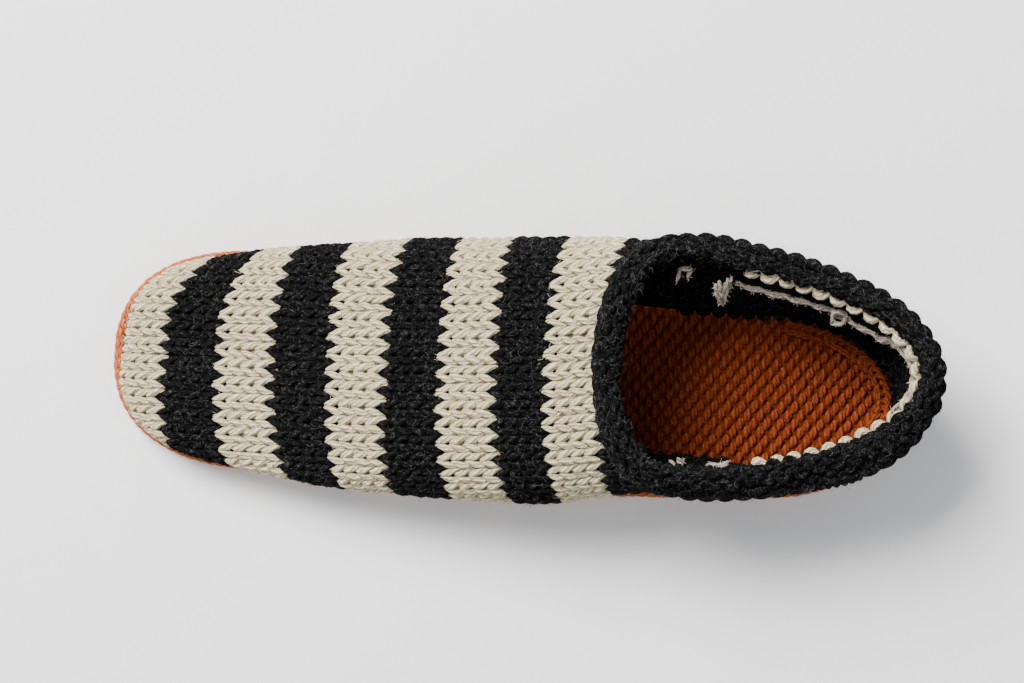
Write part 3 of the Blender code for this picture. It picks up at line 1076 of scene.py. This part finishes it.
def join_limit(sheet, row, side):
    """How far round from the heel a row of the heel wall goes before it meets the vamp's last row."""
    edge = EDGES[-1]
    reach = sheet.across[-1] - 1
    at = np.arange(0, reach, 0.5)
    points, _ = sheet.at(np.full(len(at), row), side * at)
    level = level_of(points, edge, side) - edge.x
    ahead = np.nonzero(level <= 0)[0]
    return float(at[ahead[0]]) if len(ahead) else float(reach)


HEEL_CREAM_BELOW_TOP = 2
CREAM_STARTS = {INNER: 62.4, OUTER: 71.0}
CREAM_STITCH = BUMPS._replace(lean=0.21, square=3.0, depth=0.7, flat=0.5, tilt=0.05, nod=1.15)


def own_spacing(sheet, row, side):
    """Distances across the sheet at even distances along one row's own line, as far as the cream row
    goes."""
    at = np.arange(0, sheet.across[-1], 0.5)
    points, normals = sheet.at(np.full(len(at), row + 1.0), side * at)
    lengths = run_lengths(points - normals * 4)
    return lengths, at, int(lengths[np.nonzero(points[:, 0] < CREAM_STARTS[side])[0][0]] / WALE)


def make_heel_wall():
    sheet, count = heel_sheet()
    tubes = {"cream": [], "charcoal": []}
    for row in range(count):
        inner, outer = (join_limit(sheet, row + 0.5, side) for side in (INNER, OUTER))
        first, last = -int(round(outer / WALE + 0.2)), int(round(inner / WALE + 0.2))
        if row != count - HEEL_CREAM_BELOW_TOP:
            tubes["charcoal"].append(row_tube(sheet, row, first, last, -outer, inner, BUMPS))
            continue
        inner_lengths, inner_at, end = own_spacing(sheet, row, INNER)
        outer_lengths, outer_at, start = own_spacing(sheet, row, OUTER)
        lengths = np.concatenate([-outer_lengths[:0:-1], inner_lengths])
        spacing = (lengths, np.concatenate([-outer_at[:0:-1], inner_at]))
        look = (CREAM_STITCH, YARN * 1.25, MIDDLE + 0.5, spacing)
        tubes["cream"].append(row_tube(sheet, row, -start, end, None, None, *look))
        low, high = np.interp((-start * WALE, end * WALE), *spacing)
        tubes["charcoal"].append(row_tube(sheet, row, first, int(low / WALE), -outer, low, BUMPS))
        tubes["charcoal"].append(row_tube(sheet, row, int(high / WALE), last, high, inner, BUMPS))
    finished(tube_mesh("heel_cream_row", tubes["cream"], ROUND), CREAM, "upper", "upper")
    finished(tube_mesh("heel_charcoal", tubes["charcoal"], ROUND), CHARCOAL, "upper", "upper")
    # The heel's backing sheet, whose colour is painted shade for the gaps between stitches
    share = np.linspace(-1, 1, 121)
    outer, inner = [], []
    for row in np.arange(0.0, count + 0.1, 0.5):
        high, low = join_limit(sheet, row, INNER), join_limit(sheet, row, OUTER)
        at = np.where(share > 0, share * (high + 1), share * (low + 1))
        points, normals = sheet.at(np.full(len(at), row), at)
        outer.append(points - normals * BACKING)
        inner.append(points - normals * (HEEL_BACKING_END + foot_fill(points)))
    piece = closed_sheet("heel_backing", np.array(inner), np.array(outer))
    finished(piece, CHARCOAL_BACKING_SHADE, "upper", "upper")
    return tubes


def rim_frames():
    """The opening's edge: its points, the way out of the wall, the way past its edge, and the side
    of each."""
    places = np.nonzero(SIDES[INNER].t >= THROAT)[0]
    line = [(i, INNER) for i in places] + [(i, OUTER) for i in places[::-1][1:-1]]
    points = np.array([SIDES[side].points[i, -1] for i, side in line])
    normals = np.array([SIDES[side].normals[i, -1] for i, side in line])
    tangent = unit(np.roll(points, -1, axis=0) - np.roll(points, 1, axis=0))
    out = unit(normals - tangent * (normals * tangent).sum(axis=1, keepdims=True))
    past = np.cross(tangent, out)
    inwards = unit((points.mean(axis=0) - points) * (1, 1, 0)) + (0, 0, 1)
    past = past * np.where((past * inwards).sum(axis=1) < 0, -1, 1)[:, None]
    return points, out, past, [side for _, side in line]


def height_over(place, out, wall):
    """How far the wall lies along out from a place, from the wall's points nearest to that line."""
    away = wall - place
    along = away @ out
    aside = (away**2).sum(axis=1) - along**2
    weight = np.exp(-np.minimum(aside, 60) / 2.5) * (np.abs(along) < 9)
    return float(min((weight * along).sum() / max(weight.sum(), 1e-9), 0.6))


def make_collar_sheet():
    """The collar's outside: from the lip inside the opening, over the edge and back down over the
    wall."""
    points, out, past, sides = rim_frames()
    near = np.concatenate([SIDES[side].points[:, 12::2].reshape(-1, 3) for side in (INNER, OUTER)])
    near = near[near[:, 0] > 5]
    outlines = []
    for k in range(len(points)):
        x = points[k, 0] + BOX_MIDDLE[0]
        inner = sides[k] == INNER
        drawn = ROLL_DRAWN[sides[k]]
        roll_past, lip, further, stop, thinner = (float(column(drawn, n, x)) for n in range(1, 6))
        stand = float(column(ROLL, 2 if inner else 4, x)) - thinner
        back = float(column(ROLL, 1 if inner else 3, x)) + further
        steps = np.linspace(-14.0, 0.0, 15)
        below = [height_over(points[k] + step * past[k], out[k], near) for step in steps]
        angle = np.linspace(-math.pi / 2, 0, 14)[:-1]
        lip_past = COLLAR_GAP + (roll_past - COLLAR_GAP) * np.cos(angle)
        lip_out = COLLAR_GAP + (lip + COLLAR_GAP) * np.sin(angle)
        angle = np.linspace(0, math.radians(stop), 48)
        arch_past = (roll_past - back) / 2 + (roll_past + back) / 2 * np.cos(angle)
        arch_out = COLLAR_GAP + np.interp(arch_past, steps, below) + stand * np.sin(angle)
        all_past = np.concatenate([lip_past, arch_past])[:, None]
        all_out = np.concatenate([lip_out, arch_out])[:, None]
        outlines.append(even(points[k] + all_past * past[k] + all_out * out[k], 61))
    grid = np.array(outlines)
    around = np.roll(grid, -1, axis=0) - np.roll(grid, 1, axis=0)
    over = np.gradient(grid, axis=1)
    normals = unit(np.cross(around, over))
    middle = grid.mean(axis=1, keepdims=True)
    if ((grid - middle) * normals).sum() < 0:
        normals = -normals
    return grid, normals


def make_collar():
    grid, normals = make_collar_sheet()
    middle = grid[:, 30]
    lengths = run_lengths(ring_of(middle))
    wales = int(round(lengths[-1] / WALE))
    pitch = lengths[-1] / wales
    over = np.linalg.norm(np.diff(grid, axis=1), axis=2).sum(axis=1).mean()
    count = int(round(over / ROW))
    rows = np.arange(-0.5, count + 0.76, 0.25)
    across = np.linspace(0, lengths[-1], 6 * wales + 1)
    wide = np.arange(-12, len(across) + 12) * (across[1] - across[0])
    wrapped = np.mod(wide, lengths[-1])
    points = np.zeros((len(rows), len(wide), 3))
    turns = np.zeros_like(points)
    for i, place in enumerate(rows / count * (grid.shape[1] - 1)):
        for source, target in ((grid, points), (normals, turns)):
            target[i] = values_at(wrapped, lengths, ring_of(between(source, place)))
    sheet = Sheet(rows, wide, points, unit(turns))
    tubes = []
    for row in range(count):
        round_, along, out, thick = stitch_path(0, wales, row, BUMPS)
        place = round_ * pitch
        base, up = sheet.at(along, place)
        lumps = 0.35 * np.sin(place / 3.1 + row) + 0.3 * np.sin(place / 1.9 + 2 * row + 1)
        lumps = lumps + 0.25 * np.sin(place / 7.3)
        base = base + up * (lumps - out - 1.95)[:, None]
        tubes.append(Tube(base[:-1], up[:-1], (YARN * 1.02 * thick)[:-1], True))
    finished(tube_mesh("collar_roll", tubes, ROUND), CHARCOAL, "collar", "collar")

    # The collar's backing sheet, whose colour is painted shade for the gaps between stitches
    kept, kept_turns = points[2 : len(rows) - 1 : 2, 12:-13:3], turns[2 : len(rows) - 1 : 2, 12:-13:3]
    piece = closed_sheet("collar_backing", kept - kept_turns * 1.75, kept - kept_turns * 2.6, wrap=True)
    finished(piece, CHARCOAL_BACKING_SHADE, "collar", "collar")
    line, up = sheet.at(np.full(400, count - 0.45), np.linspace(0, lengths[-1], 401)[:-1])
    size = 0.25 + 0.75 * rising(line[:, 0], 36, 18)
    size = size * np.where(line[:, 1] < 0, 0.55, 1.0)
    line = line - up * (1.1 - 0.4 * size[:, None])
    chain = chain_tubes(line, up, 5.5, 4.2, 1.5, closed=True, lift=1.5, span=1.15, size=size)
    finished(tube_mesh("collar_bind_off", chain, ROUND), CHARCOAL, "collar", "collar")
    return tubes, chain


def chain_tubes(line, up, pitch, width, yarn, closed=False, lift=0.7, span=1.42, size=None):
    """A chain of V-shaped loops along a line, each coming out of the one before it, with a share of
    their lift."""
    size = np.ones(len(line)) if size is None else size
    ring, turn = (ring_of(line), ring_of(up)) if closed else (line, up)
    lengths = run_lengths(ring)
    count = max(int(round(lengths[-1] / pitch)), 1)
    step = lengths[-1] / count
    tubes = []
    t = np.linspace(0.02, 0.98, 18)
    shape = 0.72 + 0.28 * np.sin(math.pi * np.linspace(0.12, 0.88, len(t))) ** 0.5

    def held(at):
        return np.mod(at, lengths[-1]) if closed else np.clip(at, 0, lengths[-1])

    for i in range(count):
        grown = 1 + random.normal() * 0.05
        ahead = step * span * np.sin(math.pi * t) * grown
        aside = -width * (0.5 - yarn / width / 2) * 2 * np.cos(math.pi * t) * np.sin(math.pi * t) ** 0.9
        here = size[int(i * len(line) / count)]
        rise = here * lift * np.sin(math.pi * rising(ahead, 0, step * span)) * 1.3 - 0.55
        at = held(i * step + ahead - 0.2 * step + random.normal() * 0.1)
        normal = unit(values_at(at, lengths, turn))
        forward = values_at(held(at + 0.5), lengths, ring) - values_at(held(at - 0.5), lengths, ring)
        sideways = unit(np.cross(normal, unit(forward)))
        points = values_at(at, lengths, ring) + sideways * aside[:, None] + normal * rise[:, None]
        thick = yarn * (0.8 + 0.2 * here) * (1 + random.normal() * 0.04)
        tubes.append(Tube(points, normal, thick * shape, False))
    return tubes


def underside(x, y):
    """The sole's underside, which lifts a little at the toe and under the arch."""
    toe = np.maximum(0.0, 1 - (x - SOLE.toe) / TOE_SPRING_LENGTH)
    waist = np.maximum(0.0, 1 - ((x - ARCH_MIDDLE) / ARCH_HALF_LENGTH) ** 2)
    return TOE_SPRING * toe**2 + ARCH_LIFT * waist**2 * rising(y, -12, 40)


SOLE_YARN = 1.42
SOLE_STITCH = BUMPS._replace(lean=0.23, square=2.0, depth=1.3, tilt=0.06)
SOLE_INSET = 2.6


def make_sole():
    length = SOLE.heel - SOLE.toe - 2 * SOLE_INSET
    count = int(round(length / ROW))
    pitch = length / count
    rows = np.arange(-0.5, count + 0.76, 0.25)
    across = np.arange(-40.0, 40.5, 1.0)
    x = SOLE.toe + SOLE_INSET + rows * pitch
    middle = column(SOLE.rows, 1, x)
    grid_x, grid_y = np.meshgrid(x, across, indexing="ij")
    grid_y = grid_y + middle[:, None]
    low = underside(grid_x, grid_y)
    points = np.stack([grid_x, grid_y, (low + SOLE_THICKNESS) / 2], axis=-1) - BOX_MIDDLE
    normals = np.zeros_like(points)
    normals[..., 2] = -1.0
    sheet = Sheet(rows, across, points, normals)
    tubes = []
    inside = drawn_in(SOLE, SOLE_INSET * 0.6, SOLE_INSET * 0.6, 0)
    for row in range(count):
        at = SOLE.toe + SOLE_INSET + (row + np.array([-0.3, 0.5, 1.3])) * pitch
        half = float((outline_y(inside, at, INNER) - column(SOLE.rows, 1, at)).min()) - SOLE_INSET
        if half < 3:
            continue
        wales = max(int(round(half / WALE + 0.15)), 1)
        look = (SOLE_STITCH, SOLE_YARN, 0.0)
        tubes.append(row_tube(sheet, row, -wales, wales, -half, half, *look, fill=False))
    finished(tube_mesh("sole_stitches", tubes, SOLE_ROUND), RUST, "sole", "sole")

    # The sole's backing sheet, whose colour is painted shade for the gaps between stitches
    share = np.linspace(-1, 1, 13)
    turn = np.linspace(0, math.pi, 90)
    xs = (SOLE.toe + SOLE.heel) / 2 - np.cos(turn) * ((SOLE.heel - SOLE.toe) / 2 - 3.0)
    top, bottom = [], []
    for x in xs:
        middle = column(SOLE.rows, 1, x)
        half = max(float(outline_y(SOLE, x, INNER) - middle) - SOLE_INSET, 0.4)
        y = middle + share * half
        centre = (underside(x, y) + SOLE_THICKNESS) / 2
        for grid, rise in ((top, 1.15), (bottom, -0.35)):
            grid.append(np.stack([np.full(len(y), x), y, centre + rise], axis=1) - BOX_MIDDLE)
    piece = closed_sheet("sole_backing", np.array(bottom), np.array(top))
    finished(piece, RUST_BACKING_SHADE, "sole", "sole")

    line, up = sole_line(0.0, 0.5)
    chain = chain_tubes(line - up * 0.75, up, 3.2, 4.0, 1.2, closed=True, lift=0.3)
    heel_seam = seam_tubes(7.7, line[:, 0] > 90, 2.5, 0.1)
    toe_seam = seam_tubes(3.0, line[:, 0] < -104, 3.2, -0.6, at_start=True)
    finished(tube_mesh("sole_edge", chain + toe_seam, SOLE_ROUND), RUST_EDGE, "sole", "sole")
    finished(tube_mesh("sole_heel_seam", heel_seam, SOLE_ROUND), RUST, "sole", "sole")
    return tubes + heel_seam, chain + toe_seam


def seam_tubes(inset, part, pitch, rise, at_start=False):
    """A chain over part of the sole's top. A part that holds the outline's start is turned, so that
    it runs on."""
    line = sole_line(inset, 1.0)[0][part] + (0.0, 0.0, rise)
    if at_start:
        line = np.roll(line, len(line) // 2, axis=0)
    return chain_tubes(line, np.tile((0.0, 0.0, 1.0), (len(line), 1)), pitch, 4.2, 1.15, lift=0.6)


def sole_line(inset, share):
    """The sole's outline as a closed line at a share of its thickness, with the way out at each
    point."""
    turn = np.linspace(0, math.pi, 240)
    shape = drawn_in(SOLE, inset, inset, inset)
    xs = (shape.toe + shape.heel) / 2 - np.cos(turn) * (shape.heel - shape.toe) / 2
    inner = np.stack([xs, outline_y(shape, xs, INNER)], axis=1)
    outer = np.stack([xs, outline_y(shape, xs, OUTER)], axis=1)[::-1][1:-1]
    closed = ring_of(np.concatenate([inner, outer]))
    ring = even(closed, 601)[:-1]
    low = underside(ring[:, 0], ring[:, 1])
    z = low + share * (SOLE_THICKNESS - low)
    line = np.column_stack([ring, z]) - BOX_MIDDLE
    tangent = unit(np.roll(line, -1, axis=0) - np.roll(line, 1, axis=0))
    out = unit(np.cross(tangent, (0.0, 0.0, 1.0)))
    centre = line.mean(axis=0)
    if ((line - centre) * out).sum() < 0:
        out = -out
    return line, out


# Strands of pale yarn on the inside of the heel wall, placed one by one: its tail, tufts and a small ring
STRANDS = (
    (
        (62.6, 28.3, 40.0),
        (66.1, 27.4, 38.0),
        (72.8, 26.1, 37.0),
        (79.2, 24.8, 37.0),
        (85.3, 23.5, 36.5),
        (91.4, 21.9, 36.0),
        (97.9, 18.8, 36.0),
        (102.8, 16.4, 36.0),
        (107.4, 14.3, 36.0),
        (112.8, 12.2, 36.5),
        (117.2, 7.9, 37.0),
        (118.3, 4.3, 37.0),
        (118.1, 0.8, 37.0),
        (116.4, -2.0, 37.5),
        (114.8, -4.9, 38.0),
        (111.8, -7.4, 39.0),
    ),
    (
        (110.5, 13.0, 41.5),
        (114.6, 9.0, 41.5),
        (116.6, 4.6, 41.5),
        (116.4, 0.4, 41.5),
        (114.8, -3.0, 41.5),
        (111.0, -7.5, 41.5),
    ),
    (
        (111.0, 14.0, 42.5),
        (115.4, 9.6, 42.8),
        (117.6, 5.0, 43.0),
        (117.4, 0.2, 43.0),
        (115.2, -4.0, 42.6),
    ),
    ((56.3, 26.8, 43.0), (57.8, 24.0, 39.0), (59.4, 22.1, 36.0), (60.3, 25.6, 39.0), (61.3, 29.8, 43.0)),
    ((57.4, 28.2, 43.5), (58.8, 24.6, 39.0), (60.2, 29.4, 43.5)),
    ((44.9, 28.0, 43.0), (46.4, 31.8, 44.0), (49.0, 31.3, 43.5), (48.2, 28.6, 42.0)),
    ((46.2, -25.8, 42.5), (47.8, -27.4, 42.0), (49.9, -26.0, 42.5), (48.2, -25.0, 44.0)),
    (
        (92.1, 18.6, 37.0),
        (92.4, 21.0, 38.5),
        (94.6, 21.7, 39.0),
        (96.4, 19.9, 38.0),
        (95.2, 18.1, 36.5),
        (92.4, 18.4, 36.6),
    ),
    ((57.0, -26.6, 42.0), (59.4, -26.1, 42.5), (61.4, -25.7, 42.5), (63.5, -25.0, 42.0)),
)


def make_strands():
    """The listed strands, each two thin yarns lying loosely side by side."""
    tubes = []
    for strand in STRANDS:
        line = np.array(strand)
        length = run_lengths(line)
        at = np.linspace(0, length[-1], max(int(length[-1] / 0.7), 10))
        points = np.stack([smooth(at, length, line[:, k]) for k in range(3)], axis=1)
        for turn in (0.0, math.pi):
            twist = at / 2.2 + turn
            around = np.stack([0 * at, np.cos(twist), np.sin(twist)], axis=1) * 0.42
            rough = np.stack([np.sin(at * f + turn * 2) for f in (1.3, 0.9, 1.7)], axis=1) * 0.22
            radius = 0.6 * (1 - 0.35 * np.abs(np.linspace(-1, 1, len(at))) ** 6)
            up = np.tile((0.05, 0.1, 1.0), (len(at), 1))
            tubes.append(Tube(points + around + rough, up, radius, False))
    finished(tube_mesh("loose_strands", tubes, 6), FADED, "upper", "upper")
    return tubes


HAIR_RADIUS = 0.035


def hairs(name, tubes, count, material, slot, node, reach=(0.8, 2.6)):
    """Loose fibres that stand off the yarn: short curled threads, rooted in it."""
    steps = np.array([0.0, 0.33, 0.67, 1.0])[:, None]
    points = np.concatenate([tube.points for tube in tubes])
    ups = np.concatenate([tube.up for tube in tubes])
    radius = np.concatenate([tube.radius for tube in tubes])
    tangents = np.concatenate([unit(np.gradient(tube.points, axis=0)) for tube in tubes])
    made = []
    for i in random.integers(0, len(points), count):
        out = ups[i] * abs(random.normal()) + np.cross(tangents[i], ups[i]) * random.normal() * 0.9
        out /= max(np.linalg.norm(out), 1e-6)
        start = points[i] + out * radius[i] * 0.85
        way = random.normal(size=3)
        way = unit(way - out * (way @ out))
        aside = np.cross(out, way)
        length = random.uniform(*reach)
        turn = random.normal() * 1.3 * steps
        s = steps * length
        lift = random.uniform(-0.05, 0.45)
        place = start + way * s * np.cos(turn) + aside * s * np.sin(turn) + out * s * lift
        made.append(Tube(place, np.repeat(out[None], 4, 0), np.full(4, HAIR_RADIUS), False))
    return finished(tube_mesh(name, made, 3), material, slot, node)


def make_camera():
    data = bpy.data.cameras.new("camera")
    data.lens = 95.78
    data.sensor_width = 36.0
    data.clip_start, data.clip_end = 0.05, 20.0
    camera = bpy.data.objects.new("camera", data)
    camera.location = (-2.62 * MM, 7.11 * MM, 850 * MM)
    camera.rotation_euler = (0, 0, math.radians(3.3216))
    bpy.context.scene.collection.objects.link(camera)
    bpy.context.scene.camera = camera


def make_floor():
    data = bpy.data.meshes.new("floor")
    half = 2.5
    corners = [(-half, -half, 0), (half, -half, 0), (half, half, 0), (-half, half, 0)]
    data.from_pydata(corners, [], [(0, 1, 2, 3)])
    floor = bpy.data.objects.new("floor", data)
    bpy.context.scene.collection.objects.link(floor)
    made, tree, shader = new_material("pale_floor", 0.9, 0.5)
    tone = mixed(tree, noise(tree, object_place(tree), 60.0, 4.0), (0.90, 0.895, 0.89), (0.94, 0.935, 0.93))
    tree.links.new(tone, shader.inputs["Base Color"])
    data.materials.append(made)


def make_lights():
    world = bpy.data.worlds.new("studio")
    world.use_nodes = True
    background = world.node_tree.nodes["Background"]
    background.inputs["Color"].default_value = (0.93, 0.96, 1.0, 1.0)
    background.inputs["Strength"].default_value = 0.60
    bpy.context.scene.world = world
    for name, place, size, power, colour in (
        ("window", (-0.66, 0.72, 1.12), 0.75, 66.0, (1.0, 0.985, 0.965)),
        ("fill", (0.9, -0.9, 1.6), 1.6, 6.0, (0.95, 0.97, 1.0)),
    ):
        data = bpy.data.lights.new(name, "AREA")
        data.energy, data.size, data.color = power, size, colour
        lamp = bpy.data.objects.new(name, data)
        lamp.location = place
        lamp.rotation_euler = (Vector((0, 0, 0.02)) - Vector(place)).to_track_quat("-Z", "Y").to_euler()
        bpy.context.scene.collection.objects.link(lamp)


make_camera()
make_lights()
make_floor()
vamp, vamp_ends, vamp_tubes = make_vamp()
make_backing(vamp, vamp_ends)
heel_tubes = make_heel_wall()
collar_tubes, collar_chain = make_collar()
sole_tubes, sole_chain = make_sole()
strands = make_strands()
cream, charcoal = (vamp_tubes[True] + heel_tubes["cream"], vamp_tubes[False] + heel_tubes["charcoal"])
hairs("cream_fuzz", cream, 3600, CREAM_HAIR, "upper", "upper")
hairs("charcoal_fuzz", charcoal, 5600, CHARCOAL_HAIR, "upper", "upper")
hairs("collar_fuzz", collar_tubes + collar_chain, 3800, CHARCOAL_HAIR, "collar", "collar")
hairs("strand_fuzz", strands, 900, CREAM_HAIR, "upper", "upper", reach=(0.5, 1.5))
hairs("edge_fuzz", sole_chain, 1500, EDGE_HAIR, "sole", "sole", reach=(1.0, 2.6))
hairs("sole_fuzz", sole_tubes, 900, RUST_HAIR, "sole", "sole", reach=(0.6, 2.0))
